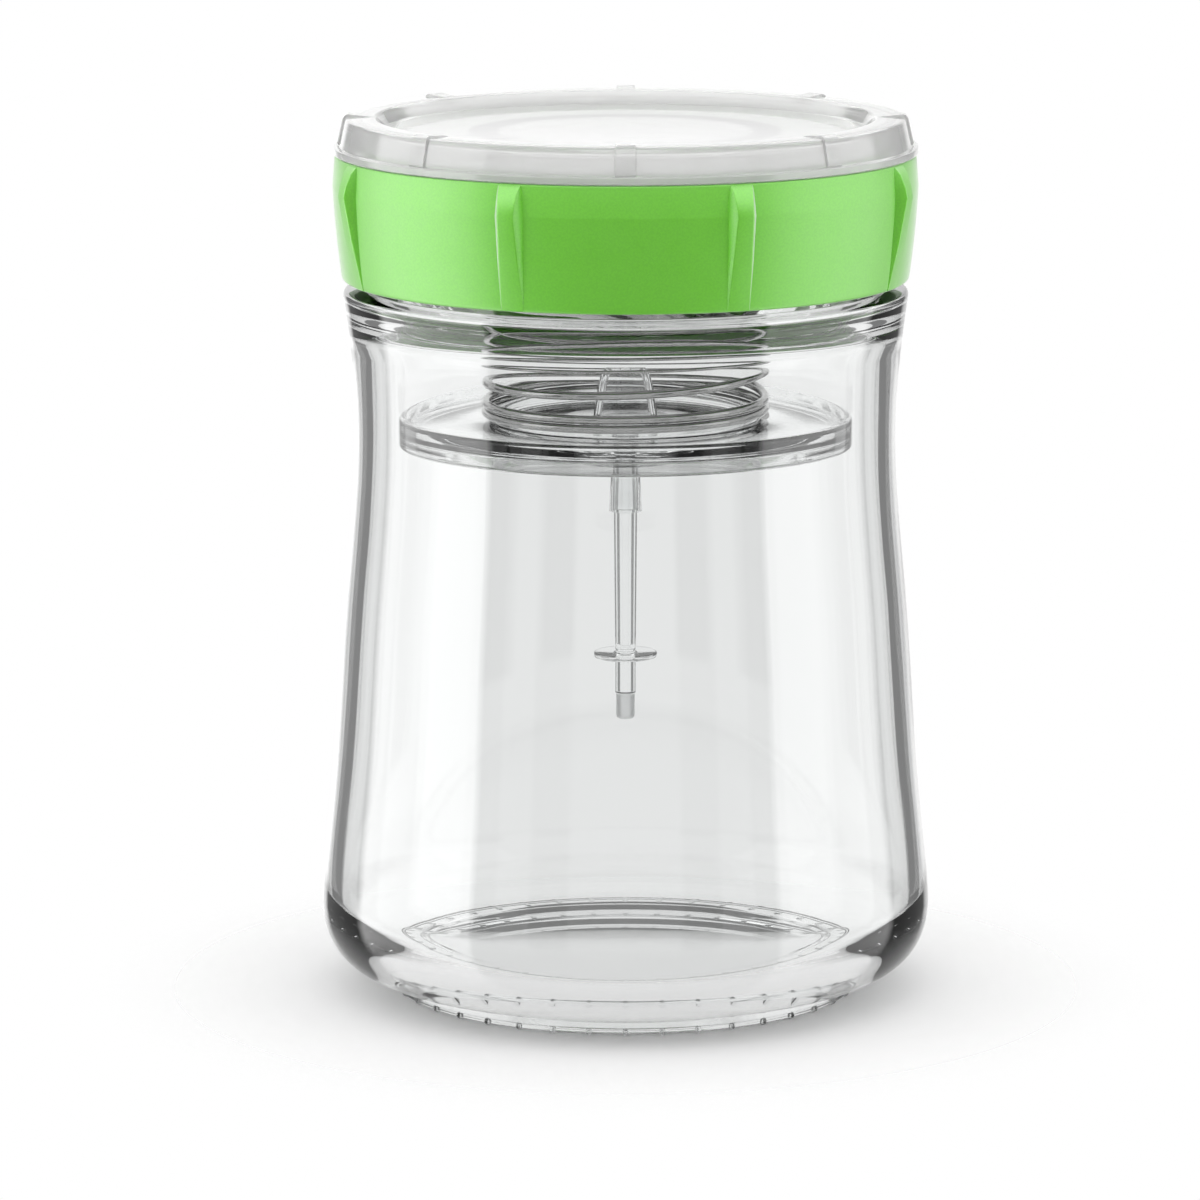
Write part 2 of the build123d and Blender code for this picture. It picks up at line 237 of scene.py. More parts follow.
def skin(name: str, rings: np.ndarray, loop: bool = True) -> Piece:
    """Joins rings of points into one closed surface.

    Args:
        name: the object's name.
        rings: points in metres, ring by ring.
        loop: whether the last ring joins the first. If not, both ends are closed.

    Returns:
        The object.
    """
    mesh = bmesh.new()
    rows = [[mesh.verts.new(point) for point in ring] for ring in rings]
    pairs = list(zip(rows, rows[1:])) + ([(rows[-1], rows[0])] if loop else [])
    for low, high in pairs:
        for i in range(len(low)):
            nxt = (i + 1) % len(low)
            mesh.faces.new((low[i], low[nxt], high[nxt], high[i]))
    if not loop:
        for row in (rows[0], rows[-1]):
            if (row[0].co - row[len(row) // 2].co).length > NEAR:
                mesh.faces.new(row)
    return smooth(name, mesh)


def even_angles(count: int = ANGLE_COUNT) -> np.ndarray:
    """Returns count angles, evenly spaced over a turn."""
    return np.linspace(0, TURN, count, endpoint=False)


def lathe(
    name: str,
    outline: Sequence[Point],
    loop: bool = False,
    relief: Optional[Relief] = None,
    angles: Optional[np.ndarray] = None,
) -> Piece:
    """Turns a section about the axis of the jar.

    Args:
        name: the object's name.
        outline: the section in millimetres, drawn anticlockwise with the axis on its left.
        loop: whether the outline is closed. If not, it starts and ends on the axis.
        relief: works out how far each point stands out along the outline's normal.
        angles: where the copies of the outline stand, if not evenly.

    Returns:
        The object.
    """
    turns = even_angles() if angles is None else angles
    line = np.array(outline, float)
    grid = np.repeat(line[:, None, :], len(turns), axis=1)
    if relief is not None:
        if loop:
            along = np.roll(line, -1, axis=0) - np.roll(line, 1, axis=0)
        else:
            along = np.gradient(line, axis=0)
        normal = np.stack([along[:, 1], -along[:, 0]], axis=1)
        normal /= np.maximum(np.linalg.norm(normal, axis=1, keepdims=True), NEAR)
        grid += relief(line, turns)[:, :, None] * normal[:, None, :]
    radius, height = grid[:, :, 0] * MM, grid[:, :, 1] * MM
    rings = np.stack([radius * np.cos(turns), radius * np.sin(turns), height], axis=2)
    return skin(name, rings, loop)


@dataclass(frozen=True)
class Thread:
    """A right-hand screw thread on a straight stretch of a section."""

    radius: float
    low: float
    high: float
    proud: float
    width: float
    pitch: float = 6.0
    phase: float = 0.0
    run_out: float = 2.2
    flank: float = 0.55      # share of the width that slopes

    def relief(self, line: np.ndarray, angles: np.ndarray) -> np.ndarray:
        """Works out how far each point of a turned section stands out.

        Args:
            line: the section in millimetres.
            angles: where the copies of the section stand.

        Returns:
            The offset along the normal, by point and angle.
        """
        height = line[:, 1][:, None]
        turns = (height - self.low) / self.pitch - angles[None, :] / TURN - self.phase
        away = np.abs(turns - np.round(turns)) * self.pitch
        crest = np.clip((self.width - away) / (self.width * self.flank), 0, 1)
        ends = np.clip(np.minimum(height - self.low, self.high - height) / self.run_out, 0, 1)
        on_wall = np.abs(line[:, 0] - self.radius) < NEAR
        return self.proud * crest * crest * (3 - 2 * crest) * ends * on_wall[:, None]


class Nodes:
    """A node tree under construction, with short calls that add and join its nodes."""

    def __init__(self, tree: bpy.types.NodeTree) -> None:
        """Takes the tree to build in."""
        self.tree = tree

    @classmethod
    def of(cls, owner: Union[bpy.types.Material, bpy.types.World]) -> "Nodes":
        """Empties the tree of a material or a world.

        Args:
            owner: the material or the world.

        Returns:
            Its tree, to build in.
        """
        owner.use_nodes = True
        owner.node_tree.nodes.clear()
        return cls(owner.node_tree)

    def add(
        self, kind: str, inputs: Optional[dict[Union[str, int], Any]] = None, **settings: Any
    ) -> bpy.types.Node:
        """Adds a node.

        Args:
            kind: the node's type name.
            inputs: a value, a colour, another node's output, or None for what stays as it is,
                for each named or numbered input.
            settings: the node's own properties.

        Returns:
            The node.
        """
        node = self.tree.nodes.new(kind)
        for key, value in settings.items():
            setattr(node, key, value)
        for key, value in (inputs or {}).items():
            socket = node.inputs[key]
            if isinstance(value, Socket):
                self.tree.links.new(value, socket)
            elif value is not None:
                socket.default_value = (*value, 1.0) if socket.type == "RGBA" else value
        return node

    def math(self, operation: str, *values: Any) -> Socket:
        """Adds a Math node on numbers or outputs, and returns its output."""
        return self.add("ShaderNodeMath", dict(enumerate(values)), operation=operation).outputs[0]

    def most(self, first: Any, second: Any) -> Socket:
        """Returns the larger of two numbers."""
        return self.math("MAXIMUM", first, second)

    def times(self, first: Any, second: Any) -> Socket:
        """Returns the product of two numbers."""
        return self.math("MULTIPLY", first, second)

    def ramp(self, value: Any, ends: Span, start: float = 0.0, end: float = 1.0) -> Socket:
        """Adds a smooth step.

        Args:
            value: the number that is mapped.
            ends: where the step starts and ends.
            start: the result before the step.
            end: the result after it.

        Returns:
            The mapped number.
        """
        low, high = ends
        inputs = {"Value": value, "From Min": low, "From Max": high, "To Min": start, "To Max": end}
        node = self.add("ShaderNodeMapRange", inputs, interpolation_type="SMOOTHSTEP")
        return node.outputs["Result"]

    def noise(self, scale: float, detail: float = 2.0) -> Socket:
        """Adds noise on the object's own coordinates.

        Args:
            scale: lumps for each metre.
            detail: octaves.

        Returns:
            The noise, from 0 to 1.
        """
        place = self.add("ShaderNodeTexCoord").outputs["Object"]
        inputs = {"Vector": place, "Scale": scale, "Detail": detail}
        return self.add("ShaderNodeTexNoise", inputs).outputs[0]


@dataclass(frozen=True)
class Finish:
    """A surface finish, made as one material. Grain and waves are lumps a metre and height."""

    name: str
    slot: Slot
    colour: Colour
    roughness: float
    roughness_spread: float = 0.0
    grain: tuple[float, float] = (900.0, 0.0)
    waves: tuple[float, float] = (30.0, 0.0)
    patch: float = 6.0       # a patch of roughness is this many times as wide as the grain
    patch_detail: float = 3.0
    patch_ends: Span = (0.25, 0.75)

    def settings(self) -> dict[str, Any]:
        """Returns the values of the shader's own sockets."""
        return {}

    def colour_nodes(self, nodes: Nodes) -> Any:
        """Returns the base colour, or the output that makes it."""
        return self.colour

    def volume_nodes(self, nodes: Nodes) -> Optional[Socket]:
        """Returns the output of what fills the piece, if anything does."""
        return None

    def material(self) -> bpy.types.Material:
        """Builds the material: colour, uneven roughness, and relief at two scales.

        Returns:
            The material.
        """
        made = bpy.data.materials.new(self.name)
        nodes = Nodes.of(made)
        bump: Optional[Socket] = None
        for scale, height in (self.waves, self.grain):
            if height:
                relief = {"Height": nodes.noise(scale), "Distance": height * MM, "Strength": 1.0}
                bump = nodes.add("ShaderNodeBump", {**relief, "Normal": bump}).outputs[0]
        uneven = nodes.noise(self.grain[0] / self.patch, self.patch_detail)
        roughest = self.roughness + self.roughness_spread
        shader = nodes.add("ShaderNodeBsdfPrincipled", {
            "Base Color": self.colour_nodes(nodes),
            "Roughness": nodes.ramp(uneven, self.patch_ends, self.roughness, roughest),
            "Normal": bump,
            **self.settings(),
        })
        volume = self.volume_nodes(nodes)
        nodes.add("ShaderNodeOutputMaterial", {"Surface": shader.outputs[0], "Volume": volume})
        return made


@dataclass(frozen=True)
class ClearFinish(Finish):
    """Glass or clear plastic, with a faint tint that deepens with its thickness."""

    ior: float = 1.5
    transmission: float = 1.0
    tint: Colour = (0.92, 0.93, 0.92)
    tint_density: float = 0.0

    def settings(self) -> dict[str, Any]:
        """Returns the values that make it clear."""
        return {"IOR": self.ior, "Transmission Weight": self.transmission}

    def volume_nodes(self, nodes: Nodes) -> Optional[Socket]:
        """Returns the absorption of the bulk.

        Args:
            nodes: the material's tree.

        Returns:
            Its output, or None where the bulk is clear.
        """
        if not self.tint_density:
            return None
        inputs = {"Color": self.tint, "Density": self.tint_density}
        return nodes.add("ShaderNodeVolumeAbsorption", inputs).outputs[0]


@dataclass(frozen=True)
class DyedFinish(Finish):
    """Dyed plastic with fine grain and a soft sheen."""

    deep: Colour = (0.08, 0.4, 0.001)
    speckle: float = 0.35
    speckle_scale: float = 3000.0
    speckle_detail: float = 1.0
    speckle_ends: Span = (0.35, 0.65)
    specular: float = 0.9
    sheen: float = 1.0
    sheen_roughness: float = 0.33
    ior: float = 1.5
    coat: float = 0.55
    coat_roughness: float = 0.5

    def settings(self) -> dict[str, Any]:
        """Returns the values of its gloss and sheen."""
        return {
            "IOR": self.ior,
            "Specular IOR Level": self.specular,
            "Sheen Weight": self.sheen,
            "Sheen Roughness": self.sheen_roughness,
            "Coat Weight": self.coat,
            "Coat Roughness": self.coat_roughness,
        }

    def colour_nodes(self, nodes: Nodes) -> Socket:
        """Returns the dye with its fine speckle.

        Args:
            nodes: the material's tree.

        Returns:
            The colour's output.
        """
        grain = nodes.noise(self.speckle_scale, self.speckle_detail)
        speckle = nodes.ramp(grain, self.speckle_ends, 0.0, self.speckle)
        inputs = {0: speckle, 6: self.colour, 7: self.deep}
        return nodes.add("ShaderNodeMix", inputs, data_type="RGBA").outputs[2]


@dataclass(frozen=True)
class RubberFinish(Finish):
    """Milky silicone that lets some light in."""

    depth: float = 0.4
    light_reach: Place = (0.004, 0.004, 0.004)

    def settings(self) -> dict[str, Any]:
        """Returns the values of the light under its surface."""
        return {
            "Subsurface Weight": self.depth,
            "Subsurface Radius": self.light_reach,
            "Subsurface Scale": 1.0,
        }


@dataclass(frozen=True)
class SteelFinish(Finish):
    """Drawn and polished spring wire."""

    def settings(self) -> dict[str, Any]:
        """Returns the value that makes it metal."""
        return {"Metallic": 1.0}


GLASS = ClearFinish(
    "jar_glass", Slot.GLASS, (0.985, 0.992, 0.99), 0.0, 0.012, grain=(240.0, 0.0),
    waves=(26.0, 0.05), tint_density=3.0,
)
CAP_CLEAR = ClearFinish(
    "milky_cap", Slot.CLEAR, (0.99, 0.99, 0.985), 0.04, 0.05, grain=(1500.0, 0.003),
    waves=(60.0, 0.02), ior=1.49, transmission=0.66,
)
CLEAR = ClearFinish(
    "clear_press", Slot.CLEAR, (0.975, 0.98, 0.98), 0.015, 0.03, grain=(1500.0, 0.002),
    waves=(60.0, 0.02), ior=1.49,
)
FROSTED = ClearFinish(
    "frosted_tip", Slot.FROSTED, (0.9, 0.91, 0.91), 0.35, 0.1, grain=(2400.0, 0.01),
    ior=1.47, transmission=0.85,
)
GREEN = DyedFinish(
    "green_ring", Slot.GREEN, (0.12, 0.51, 0.001), 0.38, 0.06, grain=(2600.0, 0.012),
    waves=(140.0, 0.01),
)
SILICONE = RubberFinish(
    "milky_silicone", Slot.SILICONE, (0.78, 0.8, 0.78), 0.45, 0.1, grain=(1800.0, 0.01),
)
STEEL = SteelFinish(
    "spring_wire", Slot.STEEL, (0.4, 0.4, 0.395), 0.04, 0.08, grain=(1600.0, 0.004),
)


class GeometryTree:
    """A Geometry Nodes tree with named inputs, applied to a piece as a plain mesh."""

    def __init__(self, name: str, **sizes: str) -> None:
        """Starts the tree, whose inputs are a geometry, its sizes and a material.

        Args:
            name: the tree's name.
            sizes: the kind of each size.
        """
        self.tree = bpy.data.node_groups.new(name, "GeometryNodeTree")
        inputs = {"Geometry": "Geometry", **sizes, "material": "Material"}
        sockets = [(label, "INPUT", kind) for label, kind in inputs.items()]
        for label, side, kind in [*sockets, ("Geometry", "OUTPUT", "Geometry")]:
            kind = "NodeSocket" + kind
            self.tree.interface.new_socket(name=label, in_out=side, socket_type=kind)
        self.nodes = Nodes(self.tree)
        self.given = self.nodes.add("NodeGroupInput").outputs

    def close(self, geometry: Socket) -> "GeometryTree":
        """Ends the tree: instances made real, then the material set.

        Args:
            geometry: what the tree has made.

        Returns:
            The tree.
        """
        real = self.nodes.add("GeometryNodeRealizeInstances", {"Geometry": geometry}).outputs[0]
        inputs = {"Geometry": real, "Material": self.given["material"]}
        dressed = self.nodes.add("GeometryNodeSetMaterial", inputs).outputs[0]
        self.nodes.add("NodeGroupOutput", {0: dressed})
        return self

    def apply(self, source: Piece, name: str, **values: Any) -> Piece:
        """Runs the tree on an object.

        Args:
            source: the object that it starts from, which is removed.
            name: the new object's name.
            values: its sizes and its material.

        Returns:
            The result as a plain mesh.
        """
        modifier = source.modifiers.new(self.tree.name, "NODES")
        modifier.node_group = self.tree
        for item in self.tree.interface.items_tree:
            if item.in_out == "INPUT" and item.name in values:
                modifier[item.identifier] = values[item.name]
        graph = bpy.context.evaluated_depsgraph_get()
        data = bpy.data.meshes.new_from_object(source.evaluated_get(graph))
        source.modifiers.remove(modifier)
        bpy.data.objects.remove(source)
        data.name = name
        return linked(name, data)


def round_pattern() -> GeometryTree:
    """Makes the tree that repeats a shape about the axis of the jar.

    Returns:
        The tree, with the count and the first angle as its sizes.
    """
    tree = GeometryTree("round_pattern", count="Int", first_angle="Float")
    nodes, given = tree.nodes, tree.given
    points = nodes.add("GeometryNodePoints", {"Count": given["count"]}).outputs[0]
    index = nodes.add("GeometryNodeInputIndex").outputs[0]
    step = nodes.math("DIVIDE", TURN, given["count"])
    angle = nodes.math("MULTIPLY_ADD", index, step, given["first_angle"])
    turn = nodes.add("ShaderNodeCombineXYZ", {"Z": angle}).outputs[0]
    inputs = {"Points": points, "Instance": given["Geometry"], "Rotation": turn}
    return tree.close(nodes.add("GeometryNodeInstanceOnPoints", inputs).outputs[0])


def wire_tree() -> GeometryTree:
    """Makes the tree that draws round wire along a line.

    Returns:
        The tree, with the wire's radius and its number of sides as its sizes.
    """
    tree = GeometryTree("wire", radius="Float", sides="Int")
    nodes, given = tree.nodes, tree.given
    path = nodes.add("GeometryNodeMeshToCurve", {"Mesh": given["Geometry"]}).outputs[0]
    upright = nodes.add("GeometryNodeSetCurveNormal", {"Curve": path}, mode="Z_UP").outputs[0]
    inputs = {"Resolution": given["sides"], "Radius": given["radius"]}
    section = nodes.add("GeometryNodeCurvePrimitiveCircle", inputs).outputs[0]
    inputs = {"Curve": upright, "Profile Curve": section, "Fill Caps": True}
    wire = nodes.add("GeometryNodeCurveToMesh", inputs).outputs[0]
    return tree.close(nodes.add("GeometryNodeSetShadeSmooth", {0: wire}).outputs[0])


class Workshop:
    """Keeps the two trees and each finish's material, and dresses pieces."""

    def __init__(self) -> None:
        """Starts with both trees and no material made."""
        self.made: dict[Finish, bpy.types.Material] = {}
        self.pattern, self.wire = round_pattern(), wire_tree()

    def material(self, finish: Finish) -> bpy.types.Material:
        """Returns the finish's material, made the first time it is asked for.

        Args:
            finish: the finish.

        Returns:
            Its material.
        """
        if finish not in self.made:
            self.made[finish] = finish.material()
        return self.made[finish]

    def dress(self, piece: Piece, finish: Finish, body: Optional[Body], *nodes: str) -> None:
        """Gives a piece its finish and its body, hides the frame's nodes that it stands for, and
        logs it.

        Args:
            piece: the finished piece.
            finish: its finish.
            body: the body that it rides on, or None to leave it on no body.
            nodes: the frame's nodes that it stands for.
        """
        piece.data.materials.clear()
        piece.data.materials.append(self.material(finish))
        if body is not None:
            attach(piece, body.value)
        if nodes:
            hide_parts(*nodes)
        log.info("%s: %d faces, %s", piece.name, len(piece.data.polygons), finish.slot.value)


@dataclass
class SubAssembly:
    """A part of the jar that is made by itself, with what the workshop keeps."""

    shop: Workshop


@dataclass
class GlassJar(SubAssembly):
    """The blown jar: foot, heel, waisted side, shoulder, and the neck with its screw thread."""

    wall: float = 3.3
    foot_radius: float = 42.5
    foot_height: float = 3.0
    foot_step: float = 0.5
    foot_step_height: float = 1.4
    foot_step_rounds: tuple[float, float] = (0.15, 0.3)
    foot_edge_round: float = 1.2
    foot_lift: float = 0.4        # the foot's ring is this far up, on its stipples
    foot_land: float = 2.4
    punt_depth: float = 1.6
    punt_rounds: tuple[float, float] = (1.0, 0.5)
    floor_height: float = 7.2
    floor_radius: float = 40.6
    floor_crown: float = 0.6
    heel: Point = (55.0, 16.5)
    heel_curve: tuple[Point, ...] = ((0.42, 0.08), (0.76, 0.29), (0.95, 0.61))
    heel_slope: float = 0.1
    inner_heel_lift: float = 2.0
    inner_heel_curve: Point = (0.80, 0.42)
    side: tuple[Point, ...] = ((53.05, 37.0), (50.65, 70.0), (48.45, 101.0))
    shoulder: Point = (50.4, 125.2)
    shoulder_round: float = 2.0
    shoulder_lip: float = 0.2
    inner_shoulder_drop: float = 6.6
    slope_low: float = 0.06
    slope_high: float = 0.14
    neck_radius: float = 46.0
    neck_round: float = 0.6
    mouth_radius: float = 42.5
    throat_length: float = 14.5
    rim_round: float = 1.2
    thread: Thread = Thread(radius=46.0, low=130.2, high=142.6, proud=1.7, width=1.5)
    thread_lead: float = 1.0
    thread_step: float = 0.26
    stipple_count: int = 40
    stipple_radius: float = 41.2
    stipple_size: Place = (1.1, 0.55, 0.75)

    def outer_side(self) -> list[Point]:
        """Draws the outside from the foot to the top of the shoulder.

        Returns:
            The line's points.
        """
        foot = (self.foot_radius, self.foot_height)
        wide, rise = self.heel[0] - foot[0], self.heel[1] - foot[1]
        heel = [(foot[0] + a * wide, foot[1] + b * rise) for a, b in self.heel_curve]
        low = through([foot, *heel, self.heel], (1, self.heel_slope), (0, 1))
        high = through(
            [self.heel, *self.side, self.shoulder], (-self.slope_low, 1), (self.slope_high, 1)
        )
        return low + high[1:]

    def inner_side(self) -> list[Point]:
        """Draws the inside from the throat down to the edge of the floor.

        Returns:
            The line's points.
        """
        shoulder = (
            self.shoulder[0] - self.slope_high * self.inner_shoulder_drop - self.wall,
            self.shoulder[1] - self.inner_shoulder_drop,
        )
        heel = (self.heel[0] - self.wall, self.heel[1] + self.inner_heel_lift)
        throat = (self.mouth_radius, heights("glass_jar")[1] - self.throat_length)
        side = [(radius - self.wall, height) for radius, height in reversed(self.side)]
        floor = (self.floor_radius, self.floor_height)
        bend = tuple(f + share * (h - f) for f, h, share in zip(floor, heel, self.inner_heel_curve))
        low, high = (self.slope_low, -1), (-self.slope_high, -1)
        return (
            through([throat, shoulder], (0, -1), high)
            + through([shoulder, *side, heel], high, low)[1:]
            + through([heel, bend, floor], low, (-1, -self.heel_slope))[1:]
        )

    def outline(self) -> list[Point]:
        """Draws the whole section, from the middle of the underside to the middle of the floor.

        Returns:
            The section's points.
        """
        edge = self.foot_radius - self.foot_step
        punt = edge - self.foot_edge_round - self.foot_land
        punt_top = self.punt_depth + self.foot_lift
        foot = rounded([
            (0, punt_top), (punt - self.punt_depth, punt_top, self.punt_rounds[0]),
            (punt, self.foot_lift, self.punt_rounds[1]),
            (edge, self.foot_lift, self.foot_edge_round),
            (edge, self.foot_step_height, self.foot_step_rounds[0]),
            (self.foot_radius, self.foot_step_height, self.foot_step_rounds[1]),
            (self.foot_radius, self.foot_height),
        ])
        rim = heights("glass_jar")[1]
        neck_foot = self.shoulder[1] + self.shoulder_round
        low, high = self.thread.low - self.thread_lead, self.thread.high + self.thread_lead
        ledge = rounded([
            self.shoulder,
            (self.shoulder[0] + self.shoulder_lip, neck_foot, self.shoulder_round),
            (self.neck_radius, neck_foot, self.neck_round), (self.neck_radius, low),
        ])
        mouth = rounded([
            (self.neck_radius, high), (self.neck_radius, rim, self.rim_round),
            (self.mouth_radius, rim, self.rim_round), (self.mouth_radius, rim - self.throat_length),
        ])
        return (
            foot[:-1] + self.outer_side()[:-1] + ledge[:-1]
            + climb(low, high, self.neck_radius, self.thread_step)[:-1] + mouth[:-1]
            + self.inner_side() + [(0, self.floor_height + self.floor_crown)]
        )

    def stipple(self) -> Piece:
        """Makes one stipple of the foot, where it stands on +X.

        Returns:
            The object.
        """
        mesh = bmesh.new()
        bmesh.ops.create_icosphere(mesh, subdivisions=2, radius=1.0)
        long, wide, high = self.stipple_size
        for vert in mesh.verts:
            vert.co.x = (self.stipple_radius + vert.co.x * long) * MM
            vert.co.y *= wide * MM
            vert.co.z = (high + vert.co.z * high) * MM
        return smooth("stipple", mesh)

    def build(self) -> None:
        """Makes the jar and the stipples under its foot."""
        jar = lathe("jar_glass", self.outline(), relief=self.thread.relief)
        self.shop.dress(jar, GLASS, Body.JAR, "glass_jar")
        stipples = self.shop.pattern.apply(
            self.stipple(), "foot_stipples", count=self.stipple_count, first_angle=0.0,
            material=self.shop.material(GLASS),
        )
        self.shop.dress(stipples, GLASS, Body.JAR)


@dataclass
class Seals(SubAssembly):
    """The two flat seals: on the rim of the glass, and on the collar of the ring."""

    jar_width: float = 3.4
    cap_width: float = 1.9
    edge: float = 0.3

    def add(self, node: str, width: float, body: Body) -> None:
        """Makes a seal in the place of its node.

        Args:
            node: the frame's node.
            width: from the bore to the outside, in millimetres.
            body: the body that it rides on.
        """
        (low, high), outer = heights(node), reach(node)
        places = ((outer - width, low), (outer, low), (outer, high), (outer - width, high))
        section = rounded([(*place, self.edge) for place in places], closed=True)
        self.shop.dress(lathe(node + "_silicone", section, loop=True), SILICONE, body, node)

    def build(self) -> None:
        """Makes both seals."""
        self.add("jar_seal", self.jar_width, Body.LID_CARRIER)
        self.add("cap_seal", self.cap_width, Body.RING_CARRIER)


@dataclass
class ScrewRing(SubAssembly):
    """The green screw ring: creased wall, eight ribs, deck, inner thread, and the cap's collar."""

    bottom: float = 129.1
    bottom_radius: float = 50.6
    bottom_round: float = 1.4
    crease_height: float = 145.8
    crease_radius: float = 52.2
    crease_round: float = 0.25
    top: float = 151.4
    top_radius: float = 51.75
    top_round: float = 0.35
    bulge: float = 0.2
    corner: float = 0.25
    rim_width: float = 1.55
    deck_low: float = 146.9
    deck_high: float = 149.3
    deck_bore: float = 42.55
    deck_round: float = 0.4
    bore: float = 48.6
    bore_round: float = 0.6
    collar_inner: float = 46.3
    collar_outer: float = 48.2
    collar_top: float = 152.6
    collar_round: float = 0.5
    thread: Thread = Thread(radius=48.6, low=131.6, high=145.2, proud=1.6, width=1.2, phase=0.7333)
    thread_lead: float = 1.0
    thread_step: float = 0.25
    wall_points: int = 10
    angle_count: int = 320
    rib_count: int = 8
    rib_root: float = 1.0
    rib_edge: float = 0.3
    rib_least_round: float = 0.001
    rib_sections: tuple[tuple[float, float, float, float], ...] = (
        (129.4, 4.2, 4.0, 0.02), (138.0, 4.75, 3.4, 0.98), (145.8, 5.2, 2.86, 1.8),
        (147.6, 5.0, 3.0, 1.6), (149.9, 4.6, 3.5, 0.95), (151.1, 4.2, 4.0, 0.02),
    )                             # height, width at the wall, width of the face, and how proud

    def wall_radius(self, height: float) -> float:
        """Works out the radius of the outer wall.

        Args:
            height: in millimetres.

        Returns:
            The radius at that height.
        """
        if height > self.crease_height:
            share = (height - self.crease_height) / (self.top - self.crease_height)
            return self.crease_radius + share * (self.top_radius - self.crease_radius)
        share = (height - self.bottom) / (self.crease_height - self.bottom)
        flare = self.crease_radius - self.bottom_radius
        return self.bottom_radius + share * flare + 4 * self.bulge * share * (1 - share)

    def outline(self) -> list[Point]:
        """Draws the section, from the bore's bottom edge and round.

        Returns:
            The section's points.
        """
        low, high = self.bottom + self.bottom_round, self.crease_height - self.crease_round
        crease = (self.crease_height, self.crease_height + self.crease_round)
        rows = [*np.linspace(low, high, self.wall_points), *crease]
        wall = [(self.wall_radius(float(height)), float(height)) for height in rows]
        rim_inner = self.top_radius - self.rim_width
        lead = self.bottom + self.thread_lead
        foot = rounded([
            (self.bore, lead), (self.bore, self.bottom, self.corner),
            (self.wall_radius(self.bottom), self.bottom, self.bottom_round),
            wall[0],
        ])
        head = rounded([
            wall[-1],
            (self.top_radius, self.top, self.top_round), (rim_inner, self.top, self.corner),
            (rim_inner, self.deck_high, self.deck_round),
            (self.collar_outer, self.deck_high, self.deck_round),
            (self.collar_outer, self.collar_top, self.collar_round),
            (self.collar_inner, self.collar_top, self.collar_round),
            (self.collar_inner, self.deck_high, self.deck_round),
            (self.deck_bore, self.deck_high, self.bore_round),
            (self.deck_bore, self.deck_low, self.deck_round),
            (self.bore, self.deck_low, self.bore_round), (self.bore, self.thread.high),
        ])
        bore = climb(self.thread.high, lead, self.bore, self.thread_step)
        return foot[:-1] + wall + head[1:-1] + bore[:-1]

    def rib(self) -> Piece:
        """Makes one grip rib on +X, skinned over sections that swell to the crease.

        Returns:
            The object.
        """
        rings = []
        for height, base, face, proud in self.rib_sections:
            wall = self.wall_radius(height)
            root, out = wall - self.rib_root, wall + proud
            rounding = min(self.rib_edge, proud / 2) + self.rib_least_round
            plan = rounded([
                (root, base / 2), (root, -base / 2), (wall, -base / 2),
                (out, -face / 2, rounding), (out, face / 2, rounding), (wall, base / 2),
            ], closed=True)
            rings.append([(x * MM, y * MM, height * MM) for x, y in plan])
        return skin("rib", np.array(rings), loop=False)

    def build(self) -> None:
        """Makes the ring and its ribs."""
        angles = even_angles(self.angle_count)
        ring = lathe("screw_ring", self.outline(), True, self.thread.relief, angles)
        self.shop.dress(ring, GREEN, Body.RING, "lid_ring")
        ribs = self.shop.pattern.apply(
            self.rib(), "ring_ribs", count=self.rib_count, first_angle=math.pi / self.rib_count,
            material=self.shop.material(GREEN),
        )
        self.shop.dress(ribs, GREEN, Body.RING)


